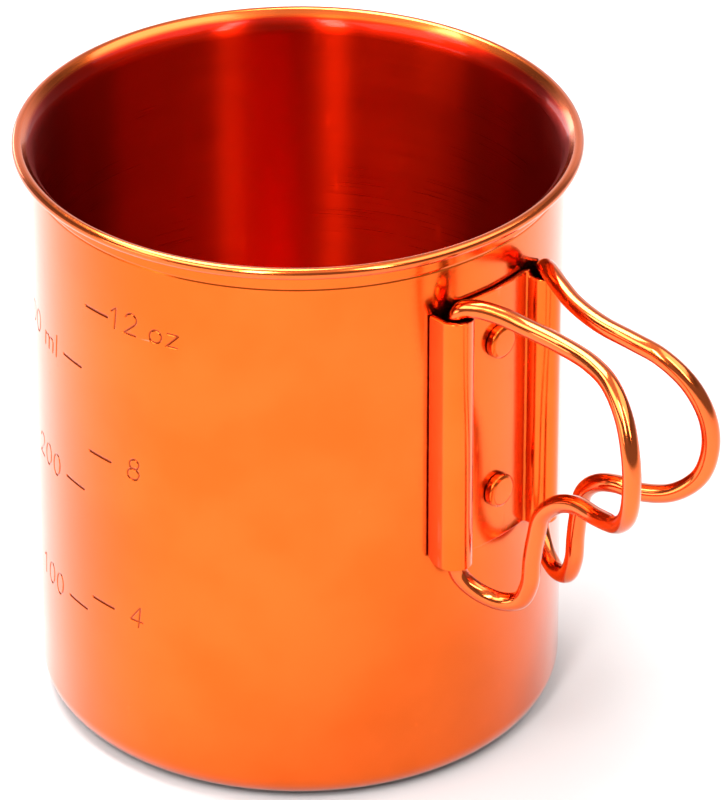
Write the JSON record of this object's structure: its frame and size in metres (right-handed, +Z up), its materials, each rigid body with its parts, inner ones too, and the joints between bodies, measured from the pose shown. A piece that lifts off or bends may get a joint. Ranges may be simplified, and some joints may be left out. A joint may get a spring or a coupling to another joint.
{
  "type": "folding-handle camping cup",
  "caption": "Straight-walled metal camping cup with a rolled rim and a riveted bracket that holds mirrored spring-wire handles, which fold back round the wall.",
  "frame": {"origin": "centre of the underside of the base, on the table", "axes": "+Z up along the cup's axis, +X towards the open handles, +Y across them so that the left handle is on the -Y side"},
  "size_m": [0.1185, 0.0848, 0.0925],
  "materials": {
    "cup": "bright orange anodised, glossy outside and in, with fine grain running round it",
    "bracket": "bright orange anodised sheet, satin gloss",
    "rivet": "orange anodised, satin",
    "wire": "bright orange anodised wire, glossy"
  },
  "bodies": {
    "cup": {"cup_body": "cup", "handle_bracket": "bracket", "upper_rivet": "rivet", "lower_rivet": "rivet"},
    "left_handle": {"left_handle": "wire"},
    "right_handle": {"right_handle": "wire"}
  },
  "joints": [
    {"name": "left_handle_swing", "type": "hinge", "parent": "cup", "child": "left_handle", "pos_m": [0.041, -0.0093, 0], "axis": [0, 0, 1], "range_deg": [-128, 7]},
    {"name": "right_handle_swing", "type": "hinge", "parent": "cup", "child": "right_handle", "pos_m": [0.041, 0.0093, 0], "axis": [0, 0, 1], "range_deg": [-7, 128]}
  ]
}
